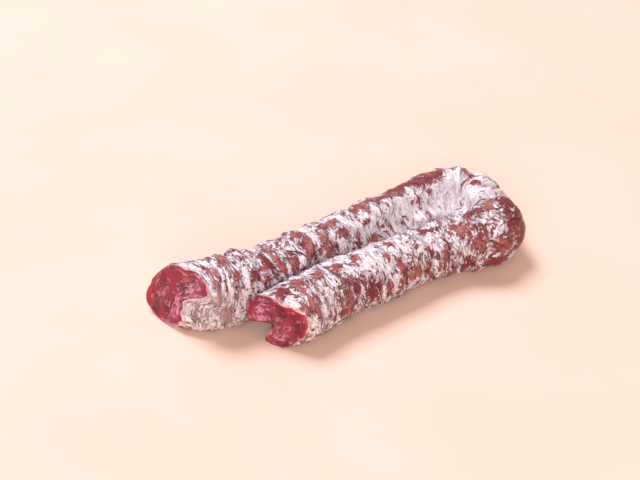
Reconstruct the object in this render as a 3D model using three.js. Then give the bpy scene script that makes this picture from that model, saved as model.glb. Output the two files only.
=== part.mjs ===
// A cured sausage: one link of coarse pork in a natural casing, hung over a rod to dry and so
// bent into a hairpin, with both ends cut off. It lies on a table, arms along X, bend at +X.
// Millimetres, +Z up. The origin is under the middle of the sausage, on the table.
import * as THREE from 'three';

// The route of the sausage's middle line over the table, from the front cut round the bend to
// the rear cut, in millimetres: [x, y, width, height] of the section there.
const ROUTE = [
  [-65.5, -18, 33, 31],
  [-47, -17, 32, 31],
  [-26, -15.5, 31, 31],
  [-9.5, -17, 31, 30.5],
  [9.5, -18, 30, 30],
  [27.5, -19, 29.5, 29.5],
  [42.5, -21.5, 29, 28],
  [55, -25.5, 32.5, 32.5],
  [67, -29.5, 36.5, 35],
  [76, -25, 35.5, 36],
  [78.6, -13, 34, 37],
  [82, 2, 35.5, 36.5],
  [74, 9.5, 36, 36],
  [59, 12.5, 35, 35],
  [40.5, 12.5, 33, 33],
  [22, 14, 33, 33],
  [3.5, 15.5, 32.5, 32.5],
  [-12, 16, 31.5, 31.5],
  [-28.5, 16.5, 31.5, 31.5],
  [-47, 15.5, 34, 32],
  [-64, 14.8, 38, 35.5],
  [-79, 17.5, 40, 36.5],
  [-97, 27.1, 36, 34],
];
const BEND = { from: 8, to: 12 };

// Where the arms press on each other: the surface between them, which runs off to the front
// towards the bend and leans to the front below the middle, and the half gap that is left.
const MEETING = { y: -0.2, turnsAt: -18, slope: -0.08, middle: 16, lean: 0.25, halfGap: 0.5 };
const MEETING_UNTIL = 49;

// The groove where the casing folded in as it dried: [share of the route, direction, depth,
// half width]. The direction is an angle in the section, from the inner side (0) upwards (90).
const GROOVE = [
  [0, -42, 10, 7],
  [0.08, -38, 6, 8],
  [0.18, -20, 1.5, 9],
  [0.36, 10, 2, 9],
  [0.47, 36, 6, 11],
  [0.6, 40, 6.5, 13],
  [0.72, 22, 3, 12],
  [0.9, -15, 1.5, 12],
  [0.955, -12, 5, 14],
  [1, 2, 13.5, 12],
];

// The cuts: how far along the route a cut shifts for each millimetre inwards and upwards.
const FRONT_CUT = { inward: -0.38, upward: 0.18 };
const REAR_CUT = { inward: -0.71, upward: -0.4 };
const CUT_REACH = 32;

// How the dried casing draws the rims of the cuts in: [direction in the section, millimetres].
const DRAWN_REACH = 12;
const FRONT_DRAWN = [
  [-180, 1.5],
  [-145, 2.4],
  [-100, 1],
  [-40, 0.5],
  [5, -1.5],
  [40, -1],
  [60, 2.5],
  [78, 5.5],
  [102, 6.7],
  [122, 4.5],
  [155, 1.2],
  [180, 1.5],
];
const REAR_DRAWN = [
  [-180, 1.2],
  [-145, -1.5],
  [-110, 0.5],
  [-80, 2],
  [-55, 4],
  [-30, 4.5],
  [0, 0],
  [35, -2],
  [55, -3],
  [75, -2.5],
  [100, 0.5],
  [150, 1.8],
  [180, 1.2],
];

// In the bend, the inner side is squeezed: it keeps this share of the room inside the curve.
const ROOM_FREE = 0.6;
const ROOM_MOST = 0.88;
const CURVE_SPAN = 14;
const LEAST_TURN = 0.01;

// Creases of the casing, which run round it like rings with bulges between them.
const CREASE_GAP = [6.5, 11.5];
const CREASE_DEPTH = [0.5, 1.4];
const CREASE_HALF_WIDTH = 1.9;
const CREASE_TILT = 3.2;
const CREASE_ALL_ROUND = 0.6;
const BEND_CREASE_GAIN = 0.8;

// The puckers of the bend, deepest at an angle in the section: [share of the route, depth, angle].
const PUCKERS = [
  [0.325, 1.2, 230],
  [0.378, 0.8, 90],
  [0.412, 2.1, 80],
  [0.445, 1.3, 100],
  [0.477, 1.5, 110],
];
const PUCKER_TILT = 1.5;

// Lumps of fat: how many, and their size.
const LUMPS = 120;
const LUMP_RADIUS = [3.5, 6.5];
const LUMP_HEIGHT = [0.4, 1.2];

// How far the sausage has settled onto the table, which gives it flat spots to rest on.
const SETTLED = 0.9;

// Mesh density.
const STATIONS = 148;
const SIDES = 24;
const STEPS_A_ROW = 40;
const GROOVE_CROWDING = 0.35;
const GROOVE_EDGE = 5;

// A small seeded source of random numbers.
function randomFrom(seed) {
  let state = seed;
  return (low, high) => {
    state = (state * 16807) % 2147483647;
    return low + ((high - low) * state) / 2147483647;
  };
}

const radians = (degrees) => (degrees * Math.PI) / 180;
const clamp = (t) => Math.min(1, Math.max(0, t));
const smooth = (t) => clamp(t) * clamp(t) * (3 - 2 * clamp(t));

// A smooth curve through numbers at whole steps: a Catmull-Rom spline, straight past its ends.
function spline(values, step) {
  const i = Math.min(Math.floor(step), values.length - 2);
  const t = step - i;
  const [b, c] = [values[i], values[i + 1]];
  const a = i > 0 ? values[i - 1] : 2 * b - c;
  const d = i + 2 < values.length ? values[i + 2] : 2 * c - b;
  return b + 0.5 * t * (c - a + t * (2 * a - 5 * b + 4 * c - d + t * (3 * (b - c) + d - a)));
}

// The route in fine steps, with the distance travelled at each.
const columns = [0, 1, 2, 3].map((k) => ROUTE.map((row) => row[k]));
const route = [];
for (let i = 0; i <= (ROUTE.length - 1) * STEPS_A_ROW; i += 1) {
  const [x, y, width, height] = columns.map((values) => spline(values, i / STEPS_A_ROW));
  const before = route[i - 1];
  const travelled = before ? before.travelled + Math.hypot(x - before.x, y - before.y) : 0;
  route.push({ x, y, width, height, travelled });
}
const LENGTH = route[route.length - 1].travelled;
const BEND_START = route[BEND.from * STEPS_A_ROW].travelled;
const BEND_END = route[BEND.to * STEPS_A_ROW].travelled;

// The place on the route at a distance along it.
function routeAt(distance) {
  const next = route.findIndex((place) => place.travelled >= distance);
  if (next < 1) return route[next === 0 ? 0 : route.length - 1];
  const [a, b] = [route[next - 1], route[next]];
  const share = (distance - a.travelled) / (b.travelled - a.travelled);
  const mix = (key) => a[key] + (b[key] - a[key]) * share;
  return { x: mix('x'), y: mix('y'), width: mix('width'), height: mix('height') };
}

// The heading of the route, in radians to the left of +X, measured over a span of it.
function heading(distance, span = 2) {
  const a = routeAt(Math.max(0, distance - span / 2));
  const b = routeAt(Math.min(LENGTH, distance + span / 2));
  return Math.atan2(b.y - a.y, b.x - a.x);
}

// The radius of the curve to the left, or a very large one where the route runs straight.
function curveRadius(distance) {
  const turn = heading(distance + CURVE_SPAN / 2, 4) - heading(distance - CURVE_SPAN / 2, 4);
  const left = Math.atan2(Math.sin(turn), Math.cos(turn));
  return CURVE_SPAN / Math.max(left, LEAST_TURN);
}

// The other columns of a table at a value of its first column, eased between its rows.
function eased(table, first) {
  const next = Math.max(1, table.findIndex((row) => row[0] >= first));
  const [a, b] = [table[next - 1], table[next]];
  const t = smooth((first - a[0]) / (b[0] - a[0]));
  return a.slice(1).map((value, k) => value + (b[k + 1] - value) * t);
}

// Creases run round the link, each leaning a little and deepest on one side.
const creaseRandom = randomFrom(41);
const creases = PUCKERS.map(([share, depth, angle]) => ({
  at: share * LENGTH,
  depth,
  tilt: PUCKER_TILT,
  leansTo: radians(angle),
  deepest: radians(angle),
}));
for (let at = 5; at < LENGTH - 4; at += creaseRandom(...CREASE_GAP)) {
  creases.push({
    at,
    depth: creaseRandom(...CREASE_DEPTH),
    tilt: creaseRandom(-CREASE_TILT, CREASE_TILT),
    leansTo: creaseRandom(0, 2 * Math.PI),
    deepest: creaseRandom(0, 2 * Math.PI),
  });
}

// Lumps of fat that push the casing out.
const lumpRandom = randomFrom(97);
const lumps = [];
for (let i = 0; i < LUMPS; i += 1) {
  lumps.push({
    at: lumpRandom(3, LENGTH - 3),
    side: lumpRandom(0, 2 * Math.PI),
    radius: lumpRandom(...LUMP_RADIUS),
    height: lumpRandom(...LUMP_HEIGHT),
  });
}

// How much a place belongs to the bend, from 0 on the arms to 1 at the bend's middle.
const bendShare = (distance) =>
  smooth(1.5 - Math.abs(2 * distance - BEND_START - BEND_END) / (BEND_END - BEND_START));

// The relief in millimetres, outwards, at a distance along the route and an angle in the section.
function relief(distance, angle, radius) {
  let out = 0;
  for (const crease of creases) {
    const off = distance - crease.at - crease.tilt * Math.cos(angle - crease.leansTo);
    if (Math.abs(off) < 4 * CREASE_HALF_WIDTH) {
      const gain = 1 + BEND_CREASE_GAIN * bendShare(distance);
      const reach = CREASE_ALL_ROUND + (1 - CREASE_ALL_ROUND) * Math.cos(angle - crease.deepest);
      out -= crease.depth * gain * reach * Math.exp(-((off / CREASE_HALF_WIDTH) ** 2));
    }
  }
  for (const lump of lumps) {
    const offAlong = distance - lump.at;
    if (Math.abs(offAlong) < 2.5 * lump.radius) {
      const turn = Math.atan2(Math.sin(angle - lump.side), Math.cos(angle - lump.side));
      const offRound = turn * radius;
      out += lump.height * Math.exp(-((offAlong / lump.radius) ** 2) - (offRound / lump.radius) ** 2);
    }
  }
  return out;
}

// How far the rims are drawn in, at a distance along the route and an angle in the section.
function drawnIn(distance, angle) {
  const degrees = (Math.atan2(Math.sin(angle), Math.cos(angle)) * 180) / Math.PI;
  const nearFront = clamp(1 - distance / DRAWN_REACH) ** 2;
  const nearRear = clamp(1 - (LENGTH - distance) / DRAWN_REACH) ** 2;
  return nearFront * eased(FRONT_DRAWN, degrees)[0] + nearRear * eased(REAR_DRAWN, degrees)[0];
}

// A point of the section, as millimetres inwards (towards the hairpin's inner side) and upwards.
function sectionPoint(distance, angle) {
  const { width, height } = routeAt(distance);
  const out = relief(distance, angle, (width + height) / 4) - drawnIn(distance, angle);
  let inward = (width / 2 + out) * Math.cos(angle);
  let upward = (height / 2 + out) * Math.sin(angle);
  const [degrees, depth, halfWidth] = eased(GROOVE, distance / LENGTH);
  const turn = radians(degrees);
  const facing = inward * Math.cos(turn) + upward * Math.sin(turn);
  const across = -inward * Math.sin(turn) + upward * Math.cos(turn);
  const push = depth * smooth(1 - Math.abs(across) / halfWidth) * smooth(facing / GROOVE_EDGE);
  inward -= push * Math.cos(turn);
  upward -= push * Math.sin(turn);
  const room = curveRadius(distance);
  const over = inward / room - ROOM_FREE;
  const spare = ROOM_MOST - ROOM_FREE;
  if (over > 0) inward = room * (ROOM_FREE + spare * (1 - Math.exp(-over / spare)));
  return { inward, upward };
}

// A point of the skin. Near an end, the rings lean over until the last one lies in the cut.
function skinPoint(distance, angle) {
  const { inward, upward } = sectionPoint(distance, angle);
  const nearFront = smooth(1 - distance / CUT_REACH);
  const nearRear = smooth(1 - (LENGTH - distance) / CUT_REACH);
  const forward =
    nearFront * (FRONT_CUT.inward * inward + FRONT_CUT.upward * upward) +
    nearRear * (REAR_CUT.inward * inward + REAR_CUT.upward * upward);
  const at = routeAt(distance);
  const direction = heading(distance);
  const x = at.x + forward * Math.cos(direction) - inward * Math.sin(direction);
  const z = Math.max(0, at.height / 2 - SETTLED + upward);
  let y = at.y + forward * Math.sin(direction) + inward * Math.cos(direction);
  if (at.x < MEETING_UNTIL) {
    const runsOff = MEETING.slope * Math.max(0, x - MEETING.turnsAt);
    const meeting = MEETING.y + runsOff - MEETING.lean * Math.max(0, MEETING.middle - z);
    const isFront = distance < LENGTH / 2;
    y = isFront ? Math.min(y, meeting - MEETING.halfGap) : Math.max(y, meeting + MEETING.halfGap);
  }
  return new THREE.Vector3(x, y, z);
}

// Angles round the section, closer together where the groove is.
function ringAngles(distance) {
  const turn = radians(eased(GROOVE, distance / LENGTH)[0]);
  return Array.from({ length: SIDES }, (_, i) => {
    const even = (2 * Math.PI * (i + 0.5)) / SIDES - Math.PI;
    return turn + even - GROOVE_CROWDING * Math.sin(even);
  });
}

// The skin as rings of points joined by two triangles a side, with a flat cut at each end.
function sausageGeometry() {
  const positions = [];
  const triangles = [];
  const rings = [];
  for (let i = 0; i < STATIONS; i += 1) {
    const distance = (LENGTH * i) / (STATIONS - 1);
    rings.push(ringAngles(distance).map((angle) => skinPoint(distance, angle)));
  }
  rings.flat().forEach((p) => positions.push(p.x, p.y, p.z));
  for (let i = 0; i < STATIONS - 1; i += 1) {
    for (let j = 0; j < SIDES; j += 1) {
      const a = i * SIDES + j;
      const b = i * SIDES + ((j + 1) % SIDES);
      const c = a + SIDES;
      const d = b + SIDES;
      triangles.push(a, b, d, a, d, c);
    }
  }
  for (const i of [0, STATIONS - 1]) {
    const ring = rings[i];
    const across = ring[0].clone().sub(ring[SIDES / 2]).setZ(0).normalize();
    const outline = ring.map((p) => new THREE.Vector2(p.x * across.x + p.y * across.y, p.z));
    for (const [a, b, c] of THREE.ShapeUtils.triangulateShape(outline, [])) {
      const face = i === 0 ? [a, b, c] : [a, c, b];
      triangles.push(...face.map((corner) => i * SIDES + corner));
    }
  }
  const geometry = new THREE.BufferGeometry();
  geometry.setAttribute('position', new THREE.Float32BufferAttribute(positions, 3));
  geometry.setIndex(triangles);
  geometry.computeVertexNormals();
  geometry.computeBoundingBox();
  const middle = geometry.boundingBox.getCenter(new THREE.Vector3());
  return geometry.translate(-middle.x, -middle.y, 0);
}

const casing = new THREE.MeshStandardMaterial({ color: 0x9a5a55, roughness: 0.75, metalness: 0 });
const sausage = new THREE.Mesh(sausageGeometry(), casing);
sausage.name = 'sausage';

const model = new THREE.Group();
model.add(sausage);

export default model;
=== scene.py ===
# %% [markdown]
# # A dry-cured sausage, bent double
#
# This lesson dresses one solid: a sausage that was hung over a rod to dry, and so bent into a
# hairpin, with both ends cut off. The frame gives its size and place. Here it gets what a
# camera sees: a wrinkled casing, the white mould that grows on it, and two cut faces of meat.
# Lengths in this file are millimetres, and are turned to metres as they reach a mesh.

# %% Load the frame
import math

import bpy
import numpy as np
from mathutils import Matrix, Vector, noise


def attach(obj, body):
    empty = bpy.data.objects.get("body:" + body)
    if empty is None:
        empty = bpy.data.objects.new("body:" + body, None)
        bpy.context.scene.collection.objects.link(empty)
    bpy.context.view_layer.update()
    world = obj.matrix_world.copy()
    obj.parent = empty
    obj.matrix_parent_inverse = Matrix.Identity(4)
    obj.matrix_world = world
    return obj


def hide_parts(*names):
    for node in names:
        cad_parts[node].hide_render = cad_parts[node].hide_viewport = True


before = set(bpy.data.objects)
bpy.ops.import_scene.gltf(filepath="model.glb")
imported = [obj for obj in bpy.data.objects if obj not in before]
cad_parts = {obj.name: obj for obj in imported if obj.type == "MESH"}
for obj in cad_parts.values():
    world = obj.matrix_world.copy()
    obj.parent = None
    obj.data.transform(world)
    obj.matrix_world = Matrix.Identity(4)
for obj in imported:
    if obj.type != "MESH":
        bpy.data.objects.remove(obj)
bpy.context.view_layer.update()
MM = 0.001

# %% [markdown]
# ## The route of the link
#
# A link of sausage is a filled tube. Its middle line is a short list of places over the table,
# each with the width and height of the section there, and a smooth curve runs through them.
# The list is the solid's own, so the dressed sausage lies exactly where the solid does.

# %% The route
ROUTE = np.array([
    [-65.5, -18, 33, 31],
    [-47, -17, 32, 31],
    [-26, -15.5, 31, 31],
    [-9.5, -17, 31, 30.5],
    [9.5, -18, 30, 30],
    [27.5, -19, 29.5, 29.5],
    [42.5, -21.5, 29, 28],
    [55, -25.5, 32.5, 32.5],
    [67, -29.5, 36.5, 35],
    [76, -25, 35.5, 36],
    [78.6, -13, 34, 37],
    [82, 2, 35.5, 36.5],
    [74, 9.5, 36, 36],
    [59, 12.5, 35, 35],
    [40.5, 12.5, 33, 33],
    [22, 14, 33, 33],
    [3.5, 15.5, 32.5, 32.5],
    [-12, 16, 31.5, 31.5],
    [-28.5, 16.5, 31.5, 31.5],
    [-47, 15.5, 34, 32],
    [-64, 14.8, 38, 35.5],
    [-79, 17.5, 40, 36.5],
    [-97, 27.1, 36, 34],
])
BEND_ROWS = (8, 12)
STEPS_A_ROW = 40


def spline(rows, steps):
    """A Catmull-Rom curve through rows at whole steps, straight past its ends."""
    ends = [2 * rows[0] - rows[1]], [2 * rows[-1] - rows[-2]]
    padded = np.concatenate([ends[0], rows, ends[1]])
    i = np.minimum(steps.astype(int), len(rows) - 2)
    t = (steps - i)[:, None]
    a, b, c, d = (padded[i + k] for k in range(4))
    return b + 0.5 * t * (c - a + t * (2 * a - 5 * b + 4 * c - d + t * (3 * (b - c) + d - a)))


route = spline(ROUTE, np.arange((len(ROUTE) - 1) * STEPS_A_ROW + 1) / STEPS_A_ROW)
hops = np.hypot(*np.diff(route[:, :2], axis=0).T)
travelled = np.concatenate([[0], np.cumsum(hops)])
LENGTH = travelled[-1]
BEND_START, BEND_END = (travelled[row * STEPS_A_ROW] for row in BEND_ROWS)
print(f"the link is {LENGTH:.0f} mm long, and bends from {BEND_START:.0f} to {BEND_END:.0f} mm")


# %% Reading the route
def smooth(t):
    t = np.clip(t, 0, 1)
    return t * t * (3 - 2 * t)


def route_at(distance):
    """x, y, width and height of the route at distances along it."""
    return [np.interp(distance, travelled, column) for column in route.T]


def heading(distance, span=2):
    """Which way the route runs there, in radians to the left of +X, over a span of it."""
    ax, ay = route_at(distance - span / 2)[:2]
    bx, by = route_at(distance + span / 2)[:2]
    return np.arctan2(by - ay, bx - ax)


CURVE_SPAN = 14
CURVE_STEP = 4
LEAST_TURN = 0.01


def curve_radius(distance):
    """Radius of the curve to the left, or a very large one where the route runs straight."""
    after = heading(distance + CURVE_SPAN / 2, CURVE_STEP)
    before = heading(distance - CURVE_SPAN / 2, CURVE_STEP)
    left = np.arctan2(np.sin(after - before), np.cos(after - before))
    return CURVE_SPAN / np.maximum(left, LEAST_TURN)


def eased(table, first):
    """The other columns of a table at values of its first column, eased between its rows."""
    table = np.array(table)
    after = np.clip(np.searchsorted(table[:, 0], first), 1, len(table) - 1)
    a, b = table[after - 1], table[after]
    t = smooth((first - a[:, 0]) / (b[:, 0] - a[:, 0]))[:, None]
    return (a + (b - a) * t)[:, 1:].T


# %% [markdown]
# ## The relief of the casing
#
# A natural casing shrinks as the meat dries. It draws in as rings, with bulges of meat between
# them, and lumps of fat push it out again. In the bend it puckers on the inner side. These
# forms are in the solid, so the same rows and the same seeded random numbers make them here.

# %% Creases and lumps
CREASE_SEED = 41
FIRST_CREASE, LAST_CREASE_CLEAR = 5, 4
CREASE_GAP = (6.5, 11.5)
CREASE_DEPTH = (0.5, 1.4)
CREASE_HALF_WIDTH = 1.9
CREASE_TILT = 3.2
CREASE_ALL_ROUND = 0.6
BEND_CREASE_GAIN = 0.8
BEND_CREASE_REACH = 1.5
PUCKERS = [
    [0.325, 1.2, 230],
    [0.378, 0.8, 90],
    [0.412, 2.1, 80],
    [0.445, 1.3, 100],
    [0.477, 1.5, 110],
]
PUCKER_TILT = 1.5
LUMP_SEED = 97
LUMPS = 120
LUMP_CLEAR = 3
LUMP_RADIUS = (3.5, 6.5)
LUMP_HEIGHT = (0.4, 1.2)
DRAW_FACTOR, DRAW_RANGE = 16807, 2147483647


def random_from(seed):
    """A small seeded source of random numbers between a low and a high value."""
    state = seed

    def draw(low, high):
        nonlocal state
        state = state * DRAW_FACTOR % DRAW_RANGE
        return low + (high - low) * state / DRAW_RANGE

    return draw


draw = random_from(CREASE_SEED)
creases = [
    (share * LENGTH, depth, PUCKER_TILT, math.radians(angle), math.radians(angle))
    for share, depth, angle in PUCKERS
]
at = FIRST_CREASE
while at < LENGTH - LAST_CREASE_CLEAR:
    depth = draw(*CREASE_DEPTH)
    tilt = draw(-CREASE_TILT, CREASE_TILT)
    creases.append((at, depth, tilt, draw(0, 2 * math.pi), draw(0, 2 * math.pi)))
    at += draw(*CREASE_GAP)

draw = random_from(LUMP_SEED)
lumps = []
for _ in range(LUMPS):
    at = draw(LUMP_CLEAR, LENGTH - LUMP_CLEAR)
    lumps.append((at, draw(0, 2 * math.pi), draw(*LUMP_RADIUS), draw(*LUMP_HEIGHT)))
print(len(creases), "creases and", len(lumps), "lumps of fat")


def relief(distance, angle, radius):
    """How far the casing stands out at places on it, in millimetres."""
    off_bend = np.abs(2 * distance - BEND_START - BEND_END) / (BEND_END - BEND_START)
    gain = 1 + BEND_CREASE_GAIN * smooth(BEND_CREASE_REACH - off_bend)
    out = np.zeros_like(distance)
    for at, depth, tilt, leans_to, deepest in creases:
        off = distance - at - tilt * np.cos(angle - leans_to)
        reach = CREASE_ALL_ROUND + (1 - CREASE_ALL_ROUND) * np.cos(angle - deepest)
        out -= depth * gain * reach * np.exp(-((off / CREASE_HALF_WIDTH) ** 2))
    for at, side, lump_radius, height in lumps:
        turn = np.arctan2(np.sin(angle - side), np.cos(angle - side))
        off_squared = (distance - at) ** 2 + (turn * radius) ** 2
        out += height * np.exp(-off_squared / lump_radius ** 2)
    return out


# %% [markdown]
# ## The skin
#
# Each place on the casing has two numbers: how far along the link it is, and its angle in the
# section. From these follow the groove where the casing folded in, the squeeze inside the
# bend, the flat spots on the table, the side where the arms press on each other, and the cuts.

# %% From a place on the casing to a point over the table
GROOVE = [
    [0, -42, 10, 7],
    [0.08, -38, 6, 8],
    [0.18, -20, 1.5, 9],
    [0.36, 10, 2, 9],
    [0.47, 36, 6, 11],
    [0.6, 40, 6.5, 13],
    [0.72, 22, 3, 12],
    [0.9, -15, 1.5, 12],
    [0.955, -12, 5, 14],
    [1, 2, 13.5, 12],
]
GROOVE_EDGE = 5
GROOVE_CROWDING = 0.35
ROOM_FREE, ROOM_MOST = 0.6, 0.88
FRONT_CUT = (-0.38, 0.18)
REAR_CUT = (-0.71, -0.4)
CUT_REACH = 32
DRAWN_REACH = 12
FRONT_DRAWN = [
    [-180, 1.5],
    [-145, 2.4],
    [-100, 1],
    [-40, 0.5],
    [5, -1.5],
    [40, -1],
    [60, 2.5],
    [78, 5.5],
    [102, 6.7],
    [122, 4.5],
    [155, 1.2],
    [180, 1.5],
]
REAR_DRAWN = [
    [-180, 1.2],
    [-145, -1.5],
    [-110, 0.5],
    [-80, 2],
    [-55, 4],
    [-30, 4.5],
    [0, 0],
    [35, -2],
    [55, -3],
    [75, -2.5],
    [100, 0.5],
    [150, 1.8],
    [180, 1.2],
]
SETTLED = 0.9
MEETING = {"y": -0.2, "turns_at": -18, "slope": -0.08, "middle": 16, "lean": 0.25, "half_gap": 0.5}
MEETING_UNTIL = 49


def drawn_in(distance, angle):
    """How far the dried casing draws the rims of the cuts in, in millimetres."""
    degrees = np.degrees(np.arctan2(np.sin(angle), np.cos(angle)))
    near_front = np.clip(1 - distance / DRAWN_REACH, 0, 1) ** 2
    near_rear = np.clip(1 - (LENGTH - distance) / DRAWN_REACH, 0, 1) ** 2
    return near_front * eased(FRONT_DRAWN, degrees)[0] + near_rear * eased(REAR_DRAWN, degrees)[0]


def skin(distance, angle, finer=0):
    """Points of the casing over the table, in millimetres; finer is added to its relief."""
    x, y, width, height = route_at(distance)
    out = relief(distance, angle, (width + height) / 4) - drawn_in(distance, angle) + finer
    inward = (width / 2 + out) * np.cos(angle)
    upward = (height / 2 + out) * np.sin(angle)
    degrees, depth, half_width = eased(GROOVE, distance / LENGTH)
    turn = np.radians(degrees)
    facing = inward * np.cos(turn) + upward * np.sin(turn)
    across = upward * np.cos(turn) - inward * np.sin(turn)
    push = depth * smooth(1 - np.abs(across) / half_width) * smooth(facing / GROOVE_EDGE)
    inward = inward - push * np.cos(turn)
    upward = upward - push * np.sin(turn)
    room = curve_radius(distance)
    spare = ROOM_MOST - ROOM_FREE
    over = np.maximum(inward / room - ROOM_FREE, 0)
    squeezed = room * (ROOM_FREE + spare * (1 - np.exp(-over / spare)))
    inward = np.where(over > 0, squeezed, inward)
    near_front = smooth(1 - distance / CUT_REACH)
    near_rear = smooth(1 - (LENGTH - distance) / CUT_REACH)
    forward = near_front * (FRONT_CUT[0] * inward + FRONT_CUT[1] * upward)
    forward = forward + near_rear * (REAR_CUT[0] * inward + REAR_CUT[1] * upward)
    ahead = heading(distance)
    skin_x = x + forward * np.cos(ahead) - inward * np.sin(ahead)
    skin_y = y + forward * np.sin(ahead) + inward * np.cos(ahead)
    skin_z = np.maximum(0, height / 2 - SETTLED + upward)
    runs_off = MEETING["slope"] * np.maximum(0, skin_x - MEETING["turns_at"])
    meeting = MEETING["y"] + runs_off - MEETING["lean"] * np.maximum(0, MEETING["middle"] - skin_z)
    in_front = np.minimum(skin_y, meeting - MEETING["half_gap"])
    behind = np.maximum(skin_y, meeting + MEETING["half_gap"])
    pressed = np.where(distance < LENGTH / 2, in_front, behind)
    skin_y = np.where(x < MEETING_UNTIL, pressed, skin_y)
    return np.stack([skin_x, skin_y, skin_z], axis=-1)


def crowded(distance, even):
    """Angles in the section from even ones, drawn together where the groove is."""
    turn = np.radians(eased(GROOVE, distance / LENGTH)[0])
    return turn + even - GROOVE_CROWDING * np.sin(even)


SOLID_STATIONS, SOLID_SIDES = 148, 24
solid_distance = np.repeat(np.linspace(0, LENGTH, SOLID_STATIONS), SOLID_SIDES)
solid_even = (np.arange(SOLID_SIDES) + 0.5) / SOLID_SIDES * 2 * np.pi - np.pi
solid_points = skin(solid_distance, crowded(solid_distance, np.tile(solid_even, SOLID_STATIONS)))
middle = (solid_points.min(0) + solid_points.max(0)) / 2 * [1, 1, 0]
print("the route's own middle is at", middle.round(2), "mm")
solid_ends = solid_points.min(0) - middle, solid_points.max(0) - middle
print("solid remade, mm:", [end.round(1) for end in solid_ends])

# %% [markdown]
# ## The filled casing
#
# A butcher starts with a straight tube, and so does this cell: a cylinder as long as the link,
# cut across into short rings and then subdivided evenly until a ring is under a millimetre.
# Hanging, drying and lying down then happen to the tube's points, as a sculptor would move
# them, because no modifier knows this route, groove and table. Each point also keeps where it
# was on the straight tube, so that patterns can follow the casing round the bend.

# %% A straight tube
TUBE_SIDES = 20
TUBE_RINGS = 70
TUBE_LEVELS = 3
TUBE_RADIUS = 16
RING_EDGE_LIMIT = 1 * MM

bpy.ops.object.select_all(action="DESELECT")
bpy.ops.mesh.primitive_cylinder_add(
    vertices=TUBE_SIDES, radius=TUBE_RADIUS * MM, depth=LENGTH * MM,
    end_fill_type="NOTHING", rotation=(0, math.pi / 2, 0),
)
sausage = bpy.context.object
sausage.name = "mouldy_sausage"
bpy.ops.object.transform_apply(location=False, rotation=True, scale=True)
bpy.ops.object.mode_set(mode="EDIT")
bpy.ops.mesh.select_mode(type="EDGE")
bpy.ops.mesh.select_all(action="DESELECT")
bpy.ops.object.mode_set(mode="OBJECT")
for edge in sausage.data.edges:
    ends = [sausage.data.vertices[v].co.x for v in edge.vertices]
    edge.select = abs(ends[0] - ends[1]) > RING_EDGE_LIMIT
bpy.ops.object.mode_set(mode="EDIT")
bpy.ops.mesh.subdivide(number_cuts=TUBE_RINGS - 1)
bpy.ops.object.mode_set(mode="OBJECT")
finer = sausage.modifiers.new("finer", "SUBSURF")
finer.subdivision_type = "SIMPLE"
finer.levels = TUBE_LEVELS
finer.render_levels = TUBE_LEVELS
bpy.ops.object.modifier_apply(modifier=finer.name)
print("straight tube:", len(sausage.data.vertices), "points")


# %% Where each point is on the casing
def points_of(piece):
    """A piece's points in millimetres."""
    flat = np.empty(len(piece.data.vertices) * 3)
    piece.data.vertices.foreach_get("co", flat)
    return flat.reshape(-1, 3) / MM


def move_points(piece, points):
    """Puts a piece's points where they are given in millimetres."""
    piece.data.vertices.foreach_set("co", (points * MM).ravel())
    piece.data.update()


def keep_numbers(piece, name, values):
    """Stores one number, or one vector, for each point, for the material to read."""
    is_vector = np.ndim(values) == 2
    kind, field = ("FLOAT_VECTOR", "vector") if is_vector else ("FLOAT", "value")
    store = piece.data.attributes.new(name, kind, "POINT")
    store.data.foreach_set(field, np.asarray(values, dtype=np.float32).ravel())


ON_RIM = 0.01

straight = points_of(sausage)
distance = np.clip(straight[:, 0] + LENGTH / 2, 0, LENGTH)
angle = crowded(distance, np.arctan2(straight[:, 2], straight[:, 1]))
unbent = np.stack([distance, TUBE_RADIUS * np.cos(angle), TUBE_RADIUS * np.sin(angle)], axis=-1)
rim_front = np.flatnonzero(distance < ON_RIM)
rim_rear = np.flatnonzero(distance > LENGTH - ON_RIM)
print("points on each rim:", len(rim_front), len(rim_rear))

# %% [markdown]
# ## Fine wrinkles
#
# Between the large creases the casing is covered with short wrinkles. They run round the link,
# because it shrank most in thickness while its own weight kept it stretched in length. Noise
# that is squeezed along the link and drawn out round it gives them.

# %% Wrinkles
WRINKLES = [
    {"along": 0.2, "round": 0.09, "height": 0.55},
    {"along": 0.5, "round": 0.14, "height": 0.3},
]
WRINKLE_OCTAVES = 2
WRINKLE_SHARE = 0.4


def wrinkles_at(places):
    """Height of the short wrinkles at places on the straight tube, in millimetres."""
    total = np.zeros(len(places))
    for wave in WRINKLES:
        scaled = places * [wave["along"], wave["round"], wave["round"]]
        ridges = np.array([noise.turbulence(Vector(p), WRINKLE_OCTAVES, True) for p in scaled])
        total += wave["height"] * (ridges - ridges.mean()) / ridges.std() * WRINKLE_SHARE
    return total


fine = wrinkles_at(unbent)
_, _, width, height = route_at(distance)
standing_out = relief(distance, angle, (width + height) / 4)
print("wrinkles from", fine.min().round(2), "to", fine.max().round(2), "mm")

# %% [markdown]
# ## Where the mould grows
#
# White mould is thick where air is still: in the valley between the arms, in the groove and low
# on the rear arm. The outside of the bend was rubbed nearly bare. Each area is a soft spot on
# the casing, with its place, its reach and how much mould it adds or takes away. One of them takes
# mould away low on the rear arm next to the rear cut, to paint the shade that falls there, and a
# beige-grey film with a soft spot of its own paints that shade too.

# %% Areas of mould
EVEN_MOULD = 0.5
# The film paints the shade that falls low on the rear arm by the rear cut. Its share of the route
# and direction in the section, then the reach in shares and in degrees.
SHADE_FILM_PLACE, SHADE_FILM_REACH = (0.965, -14), (0.06, 58)
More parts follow.
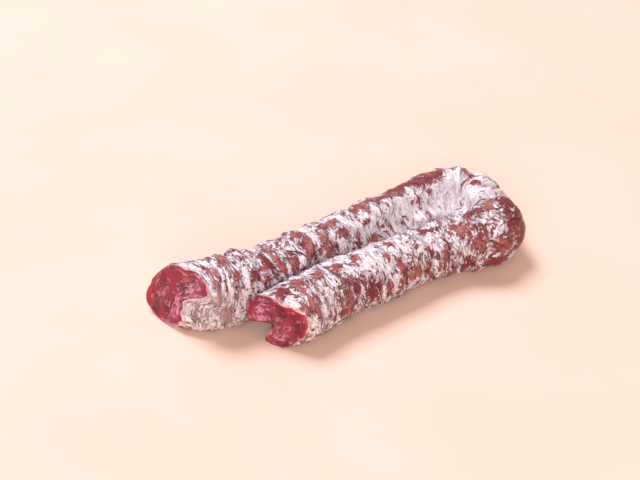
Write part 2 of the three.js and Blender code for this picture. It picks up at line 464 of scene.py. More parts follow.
# Share of the route, direction in the section, reach in shares, reach in degrees, amount.
MOULD_AREAS = [
    [0.60, 35, 0.10, 45, 0.34],
    [0.51, 65, 0.035, 45, 0.40],
    [0.44, 80, 0.03, 50, 0.22],
    [0.74, 20, 0.06, 50, 0.06],
    # Less mould here paints the shade low on the rear arm by the rear cut.
    [0.96, -10, 0.07, 55, -0.07],
    [0.78, 165, 0.22, 60, -0.13],
    [0.15, -120, 0.15, 60, -0.08],
    [0.40, 135, 0.04, 45, -0.03],
    [0.36, 175, 0.05, 45, -0.02],
    [0.55, 105, 0.06, 22, -0.30],
    [0.03, 100, 0.03, 60, 0.08],
    [0.16, 110, 0.05, 30, 0.10],
]


def soft_spot(share, degrees, half_along, half_round):
    """A soft spot on the casing: 1 in its middle, at lengths along and degrees round it."""
    off_turn = angle - math.radians(degrees)
    turn = np.arctan2(np.sin(off_turn), np.cos(off_turn)) / math.radians(half_round)
    return np.exp(-((distance - share * LENGTH) / half_along) ** 2 - turn ** 2)


mouldiness = np.full(len(distance), EVEN_MOULD)
for share, degrees, half_share, half_degrees, amount in MOULD_AREAS:
    mouldiness += amount * soft_spot(share, degrees, half_share * LENGTH, half_degrees)
# Painted shade low on the rear arm by the rear cut, as a beige-grey film.
shade_film = soft_spot(SHADE_FILM_PLACE[0], SHADE_FILM_PLACE[1], SHADE_FILM_REACH[0] * LENGTH, SHADE_FILM_REACH[1])
print("mouldiness from", mouldiness.min().round(2), "to", mouldiness.max().round(2))

# %% [markdown]
# ## Bare patches
#
# On the tops of the bulges the mould is worn off in ovals, which lie across the link. Lean meat
# under the casing makes a patch crimson or nearly black, and a lump of fat makes it orange. The
# ones that stand out in the photograph are listed one by one, and seeded ones fill the rest.

# %% Patches
# Each row is a share of the route, a direction in the section, and half lengths along and round.
PATCHES = {
    "orange": [
        [0.975, 75, 2, 3.5], [0.925, 55, 1.8, 4], [0.855, 56, 2.6, 6.5], [0.762, 38, 3, 8],
        [0.68, 22, 3.5, 3.5], [0.385, 86, 4, 3.5], [0.325, 120, 4, 5], [0.22, 166, 4, 4.5],
        [0.138, 96, 3.2, 3.6], [0.072, 90, 3.4, 3.2], [0.022, 136, 2.2, 10], [0.56, 62, 3, 2.6],
    ],
    "red": [
        [0.972, 45, 3.6, 4.6], [0.937, 88, 2, 4], [0.796, 92, 3, 6], [0.792, 62, 3, 7],
        [0.71, 26, 2.2, 7], [0.686, 95, 7, 4], [0.64, 102, 9, 3.4], [0.686, 56, 3, 3],
        [0.655, 35, 3, 4], [0.616, 32, 4.4, 4], [0.584, 58, 3.2, 3.4], [0.465, 66, 2, 8],
        [0.452, 86, 1.8, 5.5], [0.312, 102, 3, 3], [0.345, 150, 5, 5.5], [0.372, 166, 4.5, 5],
        [0.288, 158, 3.2, 7], [0.2, 152, 2.6, 9], [0.106, 93, 3.4, 2.4], [0.033, 88, 5.6, 4.6],
        [0.099, 131, 5, 2.8], [0.095, 168, 4.2, 8], [0.01, 140, 2.6, 4], [0.83, 50, 2.4, 7],
        [0.73, 56, 4, 4], [0.735, 88, 3, 3],
    ],
    "crimson": [
        [0.597, 113, 8, 4.5], [0.57, 100, 5, 5], [0.555, 91, 5, 5], [0.532, 90, 6, 5],
        [0.4, 117, 6.5, 8], [0.386, 140, 4, 4.5], [0.392, 175, 3.5, 4.5], [0.352, 86, 6.5, 4],
        [0.348, 121, 5, 2.2], [0.276, 87, 9, 2.4], [0.325, -168, 5, 4], [0.367, -160, 6, 4],
        [0.145, 165, 5, 7.5], [0.874, 66, 2.6, 6], [0.898, 50, 2.6, 3.4], [0.014, 75, 4, 4.5],
        [0.118, 148, 3, 4], [0.258, 142, 2, 3.6], [0.75, 29, 1.4, 5], [0.977, 86, 1.6, 2.4],
    ],
}
PATCH_SEED = 2029
SEEDED_PATCHES = 330
PATCH_ALONG = (1.0, 2.8)
PATCH_ROUND = (2.2, 6.0)
PATCH_KINDS = ["red", "red", "red", "red", "crimson", "crimson", "orange"]
SEEDED_STRENGTH = (0.35, 0.95)
CLEAR_OF_PLACED = 0.25

draw = random_from(PATCH_SEED)
kinds = list(PATCHES)
patches = {kind: np.zeros(len(distance)) for kind in kinds}
for kind in kinds:
    for share, degrees, half_along, half_round in PATCHES[kind]:
        spot = soft_spot(share, degrees, half_along, math.degrees(half_round / TUBE_RADIUS))
        patches[kind] = np.maximum(patches[kind], spot)
placed = np.maximum.reduce([patches[kind] for kind in kinds])
for _ in range(SEEDED_PATCHES):
    share, degrees = draw(0, 1), draw(-180, 180)
    half_along, half_round = draw(*PATCH_ALONG), draw(*PATCH_ROUND)
    kind = PATCH_KINDS[int(draw(0, len(PATCH_KINDS)))]
    spot = soft_spot(share, degrees, half_along, math.degrees(half_round / TUBE_RADIUS))
    strength = draw(*SEEDED_STRENGTH)
    if placed[np.argmax(spot)] < CLEAR_OF_PLACED:
        patches[kind] = np.maximum(patches[kind], spot * strength)
bare = np.maximum.reduce([patches[kind] for kind in kinds])
print("points in bare patches:", (bare > 0.5).mean().round(2), "of all")

# %% Raise the patches and keep what the finish needs
PATCH_BULGE = 0.95
RIM_STEEPNESS = 60

off_rims = smooth((distance / LENGTH) * RIM_STEEPNESS) * smooth((1 - distance / LENGTH) * RIM_STEEPNESS)
lift = PATCH_BULGE * bare * off_rims
points = skin(distance, angle, fine + lift) - middle
points[:, 2] = np.maximum(points[:, 2], 0)
move_points(sausage, points)
keep_numbers(sausage, "unbent", unbent)
keep_numbers(sausage, "mouldiness", mouldiness)
keep_numbers(sausage, "shade_film", shade_film)
keep_numbers(sausage, "standing_out", standing_out + fine)
keep_numbers(sausage, "bare", bare)
keep_numbers(sausage, "orange", patches["orange"])
keep_numbers(sausage, "crimson", patches["crimson"])

# %% [markdown]
# ## The cut faces
#
# A knife leaves a face that is nearly flat. Each open end of the tube is closed by drawing its
# rim inwards in steps, towards a point from which the whole face can be seen, opposite the
# mouth of the groove. The meat then swells and sinks a little, and the casing stands up at the
# rim as a thin edge.

# %% Close the ends
FACE_STEPS = [0.975, 0.94, 0.89, 0.83, 0.76, 0.69, 0.62, 0.55, 0.48, 0.41, 0.34, 0.27, 0.2, 0.12]
HEART_OUT = {"front": 1.5, "rear": 4.5}


def heart_of(end):
    """The point that the rim is drawn to: a little outwards of the section's middle."""
    at = 0.0 if end == "front" else LENGTH
    x, y, _, tall = (float(v) for v in route_at(at))
    ahead = float(heading(at))
    turn = math.radians(GROOVE[0][1] if end == "front" else GROOVE[-1][1])
    inward = -HEART_OUT[end] * math.cos(turn)
    upward = -HEART_OUT[end] * math.sin(turn)
    lean = FRONT_CUT if end == "front" else REAR_CUT
    forward = lean[0] * inward + lean[1] * upward
    place = [
        x + forward * math.cos(ahead) - inward * math.sin(ahead),
        y + forward * math.sin(ahead) + inward * math.cos(ahead),
        tall / 2 - SETTLED + upward,
    ]
    return Vector((np.array(place) - middle) * MM)


def select_only(piece, wanted):
    """Selects the given points of a piece, and the edges between them."""
    bpy.ops.object.mode_set(mode="EDIT")
    bpy.ops.mesh.select_mode(type="VERT")
    bpy.ops.mesh.select_all(action="DESELECT")
    bpy.ops.object.mode_set(mode="OBJECT")
    for index in wanted:
        piece.data.vertices[int(index)].select = True
    bpy.ops.object.mode_set(mode="EDIT")


def close_end(end, rim):
    """Closes one end with rings of faces round its heart."""
    heart = heart_of(end)
    select_only(sausage, rim)
    before = 1.0
    for step in FACE_STEPS:
        bpy.ops.mesh.extrude_region_move(TRANSFORM_OT_translate={"value": (0, 0, 0)})
        share = step / before
        bpy.ops.transform.resize(value=(share, share, share), center_override=heart)
        before = step
    bpy.ops.mesh.extrude_region_move(TRANSFORM_OT_translate={"value": (0, 0, 0)})
    bpy.ops.mesh.merge(type="CENTER")
    bpy.ops.object.mode_set(mode="OBJECT")
    return heart


tube_points = len(sausage.data.vertices)
tube_faces = len(sausage.data.polygons)
hearts = [close_end("front", rim_front), close_end("rear", rim_rear)]
print("faces of the two cuts:", len(sausage.data.polygons) - tube_faces)

# %% [markdown]
# The swell of the meat is noise on the face, faded out at the rim. How far each point is from
# the casing is kept too, because the fat and the colour of the meat follow it. So are four more
# places that the finish needs: the band along the fold, the cleft that runs in from the notch of
# the front face, where painted shade darkens the meat, the brighter edge on the side away from the
# groove, and the lip by the groove of the rear face. Turns are degrees away from the groove.

# %% Swell the meat
MEAT_SWELL = 0.9
MEAT_GRAIN = 0.14
MEAT_DIMENSION, MEAT_LACUNARITY, MEAT_OCTAVES = 1.0, 2.0, 3
RIM_FADE = 2.5
FACE_REACH = 40
LIP_TURN = {"front": 0, "rear": 62}
FOLD_MIDDLE, FOLD_HALF = 0.6, 0.17
CLEFT_TURN, CLEFT_START, CLEFT_STEEPNESS = 22, 0.3, 4
FOLD_TURN = 100
THIN_EDGE_TURN = 70

points = points_of(sausage)
on_face = np.arange(len(points)) >= tube_points
from_rim, fold, cleft_shade, thin_edge, lip = (np.zeros(len(points)) for _ in range(5))
outwards = np.zeros((len(points), 3))
for end, rim, heart in (("front", rim_front, hearts[0]), ("rear", rim_rear, hearts[1])):
    middle_of_rim = points[rim].mean(0)
    normal = np.linalg.svd(points[rim] - middle_of_rim)[2][2]
    normal *= -np.sign(normal[0])
    near = np.linalg.norm(points - middle_of_rim, axis=1) < FACE_REACH
    face = np.flatnonzero(on_face & near & ((points[:, 1] > 0) == (end == "rear")))
    reach = points[face] - np.array(heart) / MM
    length = np.linalg.norm(reach, axis=1)
    rim_reach = points[rim] - np.array(heart) / MM
    rim_length = np.linalg.norm(rim_reach, axis=1)
    towards = (reach / np.maximum(length, 1e-6)[:, None]) @ (rim_reach / rim_length[:, None]).T
    nearest = towards.argmax(1)
    share = length / rim_length[nearest]
    turn = np.degrees(angle[rim[nearest]]) - (GROOVE[0] if end == "front" else GROOVE[-1])[1]
    turn = np.abs((turn + 180) % 360 - 180)
    gaps = np.linalg.norm(points[face][:, None] - points[rim][None], axis=2)
    from_rim[face] = gaps.min(1)
    fold[face] = np.exp(-((share - FOLD_MIDDLE) / FOLD_HALF) ** 2) * smooth(2 - 2 * turn / FOLD_TURN)
    # Painted shade of the cleft that runs in from the notch of the front face.
    if end == "front":
        beyond = smooth((share - CLEFT_START) * CLEFT_STEEPNESS)
        cleft_shade[face] = smooth(2 - 2 * turn / CLEFT_TURN) * beyond
    thin_edge[face] = smooth(2 * share - 1) * smooth((turn - 180 + THIN_EDGE_TURN) / THIN_EDGE_TURN)
    lip[face] = turn < LIP_TURN[end]
    outwards[face] = normal
meat_places = [Vector(p * MEAT_GRAIN) for p in points[on_face]]
meat_noise = MEAT_DIMENSION, MEAT_LACUNARITY, MEAT_OCTAVES
swell = np.array([noise.fractal(p, *meat_noise) for p in meat_places])
lifted = MEAT_SWELL * swell * smooth(from_rim[on_face] / RIM_FADE)
points[on_face] += outwards[on_face] * lifted[:, None]
points[:, 2] = np.maximum(points[:, 2], 0)
move_points(sausage, points)
keep_numbers(sausage, "from_rim", from_rim)
keep_numbers(sausage, "fold", fold)
keep_numbers(sausage, "cleft_shade", cleft_shade)
keep_numbers(sausage, "thin_edge", thin_edge)
keep_numbers(sausage, "lip", lip)
print("the meat swells from", lifted.min().round(2), "to", lifted.max().round(2), "mm")

# %% Check the shell and its faces
bpy.ops.object.mode_set(mode="EDIT")
bpy.ops.mesh.select_all(action="SELECT")
bpy.ops.mesh.normals_make_consistent(inside=False)
bpy.ops.mesh.select_all(action="DESELECT")
bpy.ops.mesh.select_non_manifold()
bpy.ops.object.mode_set(mode="OBJECT")
open_edges = sum(edge.select for edge in sausage.data.edges)
triangles = sum(len(face.vertices) - 2 for face in sausage.data.polygons)
print("open edges:", open_edges, " triangles:", triangles)
for face in sausage.data.polygons:
    face.material_index = int(face.index >= tube_faces)
bpy.ops.object.select_all(action="DESELECT")
sausage.select_set(True)
bpy.context.view_layer.objects.active = sausage
bpy.ops.object.shade_smooth()


# %% [markdown]
# ## Shader sums as plain Python
#
# A finish is worked out from many small steps. A wire holds one socket, and Python's own signs
# on it add the Math nodes, so `1 - mould` reads as it is meant. One method adds any other node.

# %% Wires and finishes
NOISE_COLOUR = 1
MIX_SHARE, MIX_FIRST, MIX_SECOND, MIX_RESULT = 0, 6, 7, 2
MIDDLE = 0.5


class Wire:
    """One output socket of a finish, which can be used in a sum."""

    def __init__(self, finish, socket):
        self.finish = finish
        self.socket = socket

    def sum(self, operation, first, second):
        return self.finish.add("ShaderNodeMath", {"operation": operation}, {0: first, 1: second})

    def __add__(self, other):
        return self.sum("ADD", self, other)

    def __radd__(self, other):
        return self.sum("ADD", other, self)

    def __sub__(self, other):
        return self.sum("SUBTRACT", self, other)

    def __rsub__(self, other):
        return self.sum("SUBTRACT", other, self)

    def __mul__(self, other):
        return self.sum("MULTIPLY", self, other)


class Finish:
    """A material, and the one method that adds a node to it."""

    def __init__(self, name):
        self.material = bpy.data.materials.new(name)
        self.material.use_nodes = True
        self.tree = self.material.node_tree
        self.tree.nodes.clear()

    def add(self, kind, settings=None, inputs=None, output=0):
        """Adds a node with its settings and inputs, and gives back one of its outputs."""
        node = self.tree.nodes.new(kind)
        for name, value in (settings or {}).items():
            setattr(node, name, value)
        for name, value in (inputs or {}).items():
            if isinstance(value, Wire):
                self.tree.links.new(value.socket, node.inputs[name])
            else:
                node.inputs[name].default_value = value
        return Wire(self, node.outputs[output])

    def attribute(self, name, output="Fac"):
        return self.add("ShaderNodeAttribute", {"attribute_name": name}, {}, output)

    def stretched(self, vector, x, y, z):
        """A vector with each of its parts made larger or smaller."""
        return self.add("ShaderNodeVectorMath", {"operation": "MULTIPLY"}, {0: vector, 1: (x, y, z)})

    def shifted(self, vector, by, amount):
        """A vector moved about by a noise's colour, which is as far one way as the other."""
        centre = (MIDDLE, MIDDLE, MIDDLE)
        centred = self.add("ShaderNodeVectorMath", {"operation": "SUBTRACT"}, {0: by, 1: centre})
        scaled = self.stretched(centred, amount, amount, amount)
        return self.add("ShaderNodeVectorMath", {"operation": "ADD"}, {0: vector, 1: scaled})

    def noise(self, vector, scale, detail, rough, output=0):
        inputs = {"Vector": vector, "Scale": scale, "Detail": detail, "Roughness": rough}
        return self.add("ShaderNodeTexNoise", {}, inputs, output)

    def step(self, value, low, high):
        """A soft step from 0 at low to 1 at high."""
        settings = {"interpolation_type": "SMOOTHSTEP"}
        inputs = {"Value": value, "From Min": low, "From Max": high}
        return self.add("ShaderNodeMapRange", settings, inputs)

    def mix(self, share, first, second):
        """A colour between two colours."""
        inputs = {MIX_SHARE: share, MIX_FIRST: first, MIX_SECOND: second}
        return self.add("ShaderNodeMix", {"data_type": "RGBA"}, inputs, MIX_RESULT)

    def bump(self, height, reach):
        """A normal that a height bends, where a height of 1 stands out by the reach."""
        inputs = {"Height": height, "Strength": 1.0, "Distance": reach}
        return self.add("ShaderNodeBump", {}, inputs)

    def finished(self, inputs):
        """Joins it all in the surface shader."""
        surface = self.add("ShaderNodeBsdfPrincipled", {}, inputs)
        output = self.tree.nodes.new("ShaderNodeOutputMaterial")
        self.tree.links.new(surface.socket, output.inputs["Surface"])
        return self.material


def srgb(red, green, blue):
    """A colour from its screen values, 0 to 255, as the linear colour that a shader needs."""
    parts = [value / 255 for value in (red, green, blue)]
    return tuple(c / 12.92 if c <= 0.04045 else ((c + 0.055) / 1.055) ** 2.4 for c in parts) + (1.0,)


# %% [markdown]
# ## The casing's finish
#
# Under the mould the casing is a thin, leathery skin over dark red meat, browner where it is
# thick and orange where a lump of fat lies under it. The mould covers it in ragged flecks that
# run round the link. Its edge is where streaky noise, the mouldiness of the place and the
# height of the casing together pass a limit: bulges are rubbed clean, and creases stay white.

# %% Mould and bare skin
LARGE_DRIFT, SMALL_DRIFT = 8.0, 2.4
BLOTCH_WEIGHT, STREAK_WEIGHT, FLECK_WEIGHT = 1.4, 2.2, 1.2
MOULD_BASE = 0.22
BARE_LOSS = 0.68
HEIGHT_LOSS = 0.06
MOULD_STARTS, MOULD_COVERS, MOULD_THICK = 0.45, 0.53, 0.95

casing = Finish("casing")
place = casing.attribute("unbent", "Vector")


def streaky(vector, along, round_link, detail, rough):
    """Noise on the straight tube, with a scale along the link and another one round it."""
    drawn_out = casing.stretched(vector, along, round_link, round_link)
    return casing.noise(drawn_out, scale=1.0, detail=detail, rough=rough)


large_drift = casing.noise(place, scale=0.1, detail=2.0, rough=0.5, output=NOISE_COLOUR)
small_drift = casing.noise(place, scale=0.55, detail=3.0, rough=0.6, output=NOISE_COLOUR)
eased_place = casing.shifted(place, large_drift, LARGE_DRIFT)
drifted = casing.shifted(eased_place, small_drift, SMALL_DRIFT)
blotches = streaky(drifted, along=0.3, round_link=0.14, detail=3.0, rough=0.55)
streaks = streaky(drifted, along=0.85, round_link=0.3, detail=4.0, rough=0.6)
flecks = casing.noise(drifted, scale=1.5, detail=3.0, rough=0.6)
height = casing.attribute("standing_out")
bare = casing.attribute("bare")
mouldy = casing.attribute("mouldiness")
ragged = (blotches - MIDDLE) * BLOTCH_WEIGHT + (streaks - MIDDLE) * STREAK_WEIGHT
ragged = ragged + (flecks - MIDDLE) * FLECK_WEIGHT
amount = mouldy + MOULD_BASE + ragged - bare * BARE_LOSS - height * HEIGHT_LOSS
mould = casing.step(amount, MOULD_STARTS, MOULD_COVERS)
thick_mould = casing.step(amount, MOULD_STARTS, MOULD_THICK)

# %% [markdown]
# ## Lines, specks and dark edges
#
# Between the flecks there are dark marks: long creases that run round the link and stop short of
# the cuts, where the casing shows bare and painted shade darkens it, hair-thin purple lines of
# painted shade in the fine wrinkles of the mould, small specks, and a dark edge where the mould
# thins out, which is partly painted shade round the raised patches.

# %% Creases, specks and the dark edge of the mould
CUT_CLEAR = 24
CREASE_THIN, CREASE_WIDE = 0.008, 0.03
LINE_THIN, LINE_WIDE = 0.006, 0.06
EDGE_STARTS, EDGE_FULL = 0.24, 0.4
EDGE_RAGGED = 0.5

along_link = casing.add("ShaderNodeSeparateXYZ", {}, {"Vector": place}, "X")
past_front = casing.step(along_link, CUT_CLEAR / 2, CUT_CLEAR)
before_rear = casing.step(along_link, LENGTH - CUT_CLEAR / 2, LENGTH - CUT_CLEAR)


def crosswise_lines(along, round_link, thinnest, widest):
    """Thin lines that run round the link, where a long drawn noise passes its middle value."""
    drawn_out = streaky(eased_place, along, round_link, detail=0.0, rough=0.5)
    off_middle = casing.add("ShaderNodeMath", {"operation": "ABSOLUTE"}, {0: drawn_out - MIDDLE})
    return 1 - casing.step(off_middle, thinnest, widest)


crease_places = casing.noise(eased_place, scale=0.2, detail=0.0, rough=0.5)
some_places = casing.step(crease_places, 0.44, 0.62)
# Crease lines show bare casing, darkened further with painted shade.
shaded_crease = crosswise_lines(0.3, 0.07, CREASE_THIN, CREASE_WIDE) * some_places * past_front * before_rear
# Hair-thin purple lines of painted shade in the fine wrinkles of the mould.
shaded_fine_lines = crosswise_lines(0.75, 0.11, LINE_THIN, LINE_WIDE) * casing.step(streaks, 0.36, 0.58)
speck_noise = casing.noise(drifted, scale=0.85, detail=2.0, rough=0.5)
specks = casing.step(speck_noise, 0.62, 0.7)
# A dark edge where the mould thins out, partly painted shade round the raised patches.
shaded_mould_edge = casing.step(amount, EDGE_STARTS, EDGE_FULL) * (1 - mould)
shaded_mould_edge = shaded_mould_edge * casing.step(blotches + (flecks - MIDDLE) * EDGE_RAGGED, 0.44, 0.54)

# %% [markdown]
# ## The colours of the casing
#
# The skin comes first: red to brown, darker outside the bare patches, crimson or orange in some
# of them, with dark streaks, and a beige-grey film next to the rear cut that paints the shade low
# on the rear arm. The mould covers it. Painted shade darkens the creases and the fine lines in the
# mould, specks come over both, and the dark edge of the mould is partly painted shade round the
# raised patches. At each cut the casing's edge is paler.

# %% Colours and relief of the casing
SKIN_RED = srgb(150, 66, 70)
SKIN_BROWN = srgb(184, 110, 108)
SKIN_CRIMSON = srgb(128, 32, 46)
SKIN_SHADE = srgb(116, 54, 54)
# Dark casing, also used as painted shade in the creases and at the mould's edge.
DARK_SKIN_AND_SHADE = srgb(72, 26, 32)
# Beige-grey that paints the shade low on the rear arm by the rear cut.
SHADE_FILM_BEIGE = srgb(192, 166, 166)
CUT_CORAL = srgb(224, 162, 158)
FAT_ORANGE = srgb(190, 106, 95)
MOULD_WHITE = srgb(244, 239, 249)
MOULD_GREY = srgb(212, 189, 200)
# Purple-grey painted shade for the fine wrinkles in the mould.
LINE_SHADE_PURPLE = srgb(148, 112, 130)
# How strongly each colour covers what lies under it.
SHADE_SHARE, CRIMSON_SHARE, ORANGE_SHARE, STREAK_SHARE = 0.65, 0.9, 0.65, 0.7
SHADE_FILM_ON_SKIN, SHADE_FILM_ON_MOULD, GRAIN_SHARE, LINE_SHADE_SHARE = 0.6, 0.2, 0.4, 0.48
CREASE_IN_MOULD, CREASE_SHADE_SHARE, SPECK_SHARE, EDGE_SHADE_SHARE = 0.85, 0.55, 0.65, 0.8
SHADE_FILM_RAGGED = 0.8
CUT_SHARE, CUT_RAGGED, CUT_NARROW, CUT_WIDE = 0.6, 3, 0.5, 1.8
SKIN_ROUGHNESS, MOULD_ROUGHER, CRIMSON_SMOOTHER = 0.42, 0.45, 0.14
CASING_BUMP = 0.8 * MM

tint = casing.noise(drifted, scale=0.3, detail=3.0, rough=0.55)
grain = casing.noise(place, scale=2.6, detail=3.0, rough=0.6)
dark_streaks = streaky(drifted, along=1.1, round_link=0.35, detail=3.0, rough=0.6)
shade = 1 - casing.step(bare, 0.1, 0.5)
crimson = casing.step(casing.attribute("crimson"), 0.15, 0.7)
orange = casing.step(casing.attribute("orange"), 0.15, 0.8)
# Where the film paints the shade low on the rear arm by the rear cut.
shade_film_share = casing.step(casing.attribute("shade_film") + (streaks - MIDDLE) * SHADE_FILM_RAGGED, 0.2, 0.6)
skin_colour = casing.mix(casing.step(tint, 0.38, 0.64), SKIN_RED, SKIN_BROWN)
skin_colour = casing.mix(shade * SHADE_SHARE, skin_colour, SKIN_SHADE)
skin_colour = casing.mix(crimson * CRIMSON_SHARE, skin_colour, SKIN_CRIMSON)
skin_colour = casing.mix(orange * ORANGE_SHARE, skin_colour, FAT_ORANGE)
skin_colour = casing.mix(casing.step(dark_streaks, 0.54, 0.68) * STREAK_SHARE, skin_colour, DARK_SKIN_AND_SHADE)
skin_colour = casing.mix(shade_film_share * SHADE_FILM_ON_SKIN, skin_colour, SHADE_FILM_BEIGE)
mould_colour = casing.mix(thick_mould, MOULD_GREY, MOULD_WHITE)
mould_colour = casing.mix(shade_film_share * SHADE_FILM_ON_MOULD, mould_colour, SHADE_FILM_BEIGE)
mould_colour = casing.mix(casing.step(grain, 0.46, 0.7) * GRAIN_SHARE, mould_colour, MOULD_GREY)
# Painted shade of the fine wrinkles over the mould.
mould_colour = casing.mix(shaded_fine_lines * LINE_SHADE_SHARE, mould_colour, LINE_SHADE_PURPLE)
colour = casing.mix(mould * (1 - shaded_crease * CREASE_IN_MOULD), skin_colour, mould_colour)
# Painted shade in the crease lines.
colour = casing.mix(shaded_crease * CREASE_SHADE_SHARE, colour, DARK_SKIN_AND_SHADE)
colour = casing.mix(specks * SPECK_SHARE, colour, DARK_SKIN_AND_SHADE)
# Partly painted shade round the raised patches, at the mould's edge.
colour = casing.mix(shaded_mould_edge * EDGE_SHADE_SHARE, colour, DARK_SKIN_AND_SHADE)
from_ends = {0: along_link, 1: float(LENGTH) - along_link}
from_cut = casing.add("ShaderNodeMath", {"operation": "MINIMUM"}, from_ends)
ragged_cut = from_cut + (flecks - MIDDLE) * CUT_RAGGED
cut_edge = (1 - casing.step(ragged_cut, CUT_NARROW, CUT_WIDE)) * CUT_SHARE
colour = casing.mix(cut_edge, colour, CUT_CORAL)
roughness = SKIN_ROUGHNESS + mould * MOULD_ROUGHER - crimson * (1 - mould) * CRIMSON_SMOOTHER
bump_height = mould * 0.25 + streaks * 0.6 + flecks * 0.4 + grain * 0.15
bump_height = bump_height - shaded_crease * 0.6 - shaded_fine_lines * 0.3 - shaded_mould_edge * 0.3 - specks * 0.3
casing_material = casing.finished({
    "Base Color": colour,
    "Roughness": roughness,
    "Specular IOR Level": 0.45,
    "Normal": casing.bump(bump_height, CASING_BUMP),
})

# %% [markdown]
# ## The meat's finish
#
# The cut faces are moist and dark crimson, with marbling in pink and lilac that follows the rim,
# and pale lumps of fat. A paler band lies along the fold, painted shade darkens the cleft that runs
# in from the notch of the front face, the edge away from the groove is brighter, and thin paler
# casing shows at the rim.

# %% Cut meat
LEAN_RED = srgb(150, 30, 60)
LEAN_DARK = srgb(100, 12, 40)
LEAN_BRIGHT = srgb(186, 44, 54)
# Painted shade for the cleft in the front face.
CLEFT_SHADE = srgb(74, 8, 24)
MARBLE_PINK = srgb(230, 154, 180)
RIM_PINK = srgb(206, 124, 120)
PER_METRE = 1 / MM
SWIRL_DRIFT = 6.0
FLOW_SLOWNESS, FLOW_FROM_RIM = 0.13, 0.5
THREAD_WEIGHT, FOLD_WEIGHT = 0.4, 0.15
BLOB_RAGGED, RIM_RAGGED, LIP_RAGGED = 0.3, 1.6, 1.0
# How strongly each colour covers what lies under it.
BRIGHT_SHARE, MARBLE_SHARE, BLOB_SHARE, BAND_SHARE = 0.6, 0.55, 0.35, 0.4
CLEFT_SHADE_SHARE, RIM_SHARE = 0.8, 0.6
MEAT_ROUGHNESS, MARBLE_ROUGHER = 0.2, 0.1
MEAT_BUMP = 1.2 * MM

meat = Finish("cut_meat")
coordinates = meat.add("ShaderNodeTexCoord", {}, {}, "Object")
millimetres = meat.stretched(coordinates, PER_METRE, PER_METRE, PER_METRE)
swirl = meat.noise(millimetres, scale=0.14, detail=3.0, rough=0.55, output=NOISE_COLOUR)
swirled = meat.shifted(millimetres, swirl, SWIRL_DRIFT)
from_rim = meat.attribute("from_rim")
across_fold = meat.add("ShaderNodeCombineXYZ", {}, {"X": from_rim * FLOW_FROM_RIM})
slow_place = meat.stretched(swirled, FLOW_SLOWNESS, FLOW_SLOWNESS, FLOW_SLOWNESS)
flow_place = meat.add("ShaderNodeVectorMath", {"operation": "ADD"}, {0: slow_place, 1: across_fold})
flow = meat.noise(flow_place, scale=1.0, detail=4.0, rough=0.62)
threads = meat.noise(swirled, scale=0.75, detail=3.0, rough=0.6)
marbling = flow + (threads - MIDDLE) * THREAD_WEIGHT + meat.attribute("fold") * FOLD_WEIGHT
marble = meat.step(marbling, 0.54, 0.7)
blob_cells = meat.add("ShaderNodeTexVoronoi", {}, {"Vector": swirled, "Scale": 0.2})
blobs = 1 - meat.step(blob_cells + (threads - MIDDLE) * BLOB_RAGGED, 0.16, 0.32)
lean_noise = meat.noise(swirled, scale=0.15, detail=3.0, rough=0.55)
lean = meat.mix(meat.step(lean_noise, 0.4, 0.6), LEAN_DARK, LEAN_RED)
lean = meat.mix(meat.attribute("thin_edge") * BRIGHT_SHARE, lean, LEAN_BRIGHT)
band = meat.attribute("fold") * meat.step(threads, 0.36, 0.62) * BAND_SHARE
pale_share = marble * MARBLE_SHARE + blobs * BLOB_SHARE + band
face_colour = meat.mix(pale_share, lean, MARBLE_PINK)
# Painted shade in the cleft that runs in from the notch of the front face.
face_colour = meat.mix(meat.attribute("cleft_shade") * CLEFT_SHADE_SHARE, face_colour, CLEFT_SHADE)
ragged_rim = from_rim + (threads - MIDDLE) * RIM_RAGGED
rim = (1 - meat.step(ragged_rim, 0.1, 0.9)) * meat.step(threads, 0.42, 0.55)
face_colour = meat.mix(rim * RIM_SHARE, face_colour, RIM_PINK)
ragged_lip = from_rim + (threads - MIDDLE) * LIP_RAGGED
lip = meat.attribute("lip") * (1 - meat.step(ragged_lip, 0.3, 0.8))
face_colour = meat.mix(lip, face_colour, MOULD_WHITE)
meat_height = marbling * 0.9 + threads * 0.4 + blobs * 0.2
meat_material = meat.finished({
    "Base Color": face_colour,
    "Roughness": MEAT_ROUGHNESS + marble * MARBLE_ROUGHER,
    "Subsurface Weight": 0.08,
    "Subsurface Radius": (1.0, 0.25, 0.15),
    "Subsurface Scale": 2 * MM,
    "Specular IOR Level": 0.5,
    "Normal": meat.bump(meat_height, MEAT_BUMP),
})
sausage.data.materials.append(casing_material)
sausage.data.materials.append(meat_material)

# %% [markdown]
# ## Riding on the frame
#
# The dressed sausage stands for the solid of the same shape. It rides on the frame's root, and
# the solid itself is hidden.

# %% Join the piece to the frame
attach(sausage, "root")
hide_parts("sausage")

# %% [markdown]
# ## Table, light and camera
#
# The table is a plain pale peach sheet. Soft light comes from above and a little behind, a warm
# sky lights it from all round, and a weaker lamp on the camera's side keeps the near side
# bright. The camera looks along the arms from the side of the cut ends.

# %% Table
TABLE_PEACH = srgb(233, 202, 189)
TABLE_DEEPER = srgb(230, 197, 183)
TABLE_SIDE = 6

bpy.ops.mesh.primitive_plane_add(size=TABLE_SIDE)
table = bpy.context.object
table.name = "table"
sheet = Finish("table_sheet")
sheet_place = sheet.add("ShaderNodeTexCoord", {}, {}, "Object")
cloudy = sheet.noise(sheet_place, scale=9.0, detail=4.0, rough=0.55)
sheet_colour = sheet.mix(sheet.step(cloudy, 0.3, 0.7), TABLE_DEEPER, TABLE_PEACH)
table.data.materials.append(sheet.finished({"Base Color": sheet_colour, "Roughness": 0.9}))

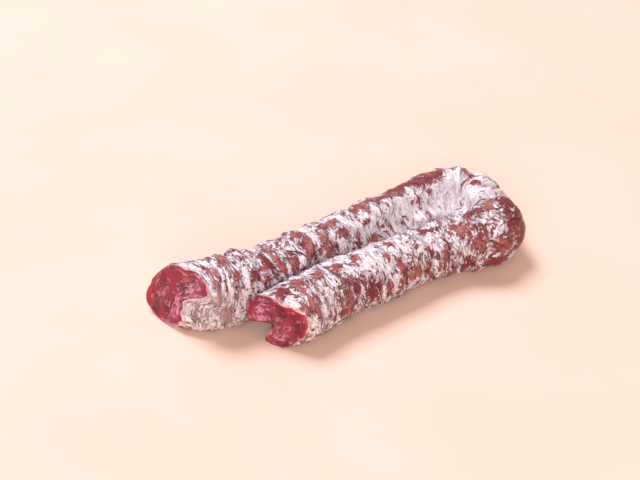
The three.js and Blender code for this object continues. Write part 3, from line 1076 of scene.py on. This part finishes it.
# %% Light
SKY_COLOUR = (1.0, 0.78, 0.60, 1.0)
SKY_STRENGTH = 0.54
KEY_PLACE = Vector((0.0, 1.5, 2.6))
KEY_ENERGY = 86
KEY_SIZE = 1.3
KEY_COLOUR = (0.95, 1.0, 1.11)
FILL_PLACE = Vector((-1.4, -1.3, 1.0))
FILL_ENERGY = 28
FILL_SIZE = 1.2
FILL_COLOUR = (1.0, 0.97, 0.94)

world = bpy.data.worlds.new("studio")
bpy.context.scene.world = world
world.use_nodes = True
sky = world.node_tree.nodes["Background"]
sky.inputs["Color"].default_value = SKY_COLOUR
sky.inputs["Strength"].default_value = SKY_STRENGTH


def soft_light(name, place, target, energy, size, colour):
    """A square lamp that faces its target."""
    bpy.ops.object.light_add(type="AREA", location=place)
    lamp = bpy.context.object
    lamp.name = name
    lamp.data.energy = energy
    lamp.data.size = size
    lamp.data.color = colour
    lamp.rotation_mode = "QUATERNION"
    lamp.rotation_quaternion = (target - place).to_track_quat("-Z", "Y")


lamp_target = Vector((0, 0, 0))
soft_light("key", KEY_PLACE, lamp_target, KEY_ENERGY, KEY_SIZE, KEY_COLOUR)
soft_light("fill", FILL_PLACE, lamp_target, FILL_ENERGY, FILL_SIZE, FILL_COLOUR)
bpy.context.scene.view_settings.view_transform = "Standard"
bpy.context.scene.view_settings.look = "None"

# %% Camera
CAMERA_AZIMUTH = math.radians(-38)
CAMERA_ELEVATION = math.radians(35)
CAMERA_DISTANCE = 650
LOOKS_AT = (6.84, 41.14)
FRAME_WIDTH = 640
FOCAL_PIXELS = 1137.5
SENSOR_WIDTH = 36

camera_target = Vector((LOOKS_AT[0] - middle[0], LOOKS_AT[1] - middle[1], 0)) * MM
back = Vector((
    math.sin(CAMERA_AZIMUTH) * math.cos(CAMERA_ELEVATION),
    -math.cos(CAMERA_AZIMUTH) * math.cos(CAMERA_ELEVATION),
    math.sin(CAMERA_ELEVATION),
))
bpy.ops.object.camera_add(location=camera_target + back * CAMERA_DISTANCE * MM)
camera = bpy.context.object
camera.rotation_mode = "QUATERNION"
camera.rotation_quaternion = (-back).to_track_quat("-Z", "Y")
camera.data.sensor_width = SENSOR_WIDTH
camera.data.lens = SENSOR_WIDTH * FOCAL_PIXELS / FRAME_WIDTH
bpy.context.scene.camera = camera
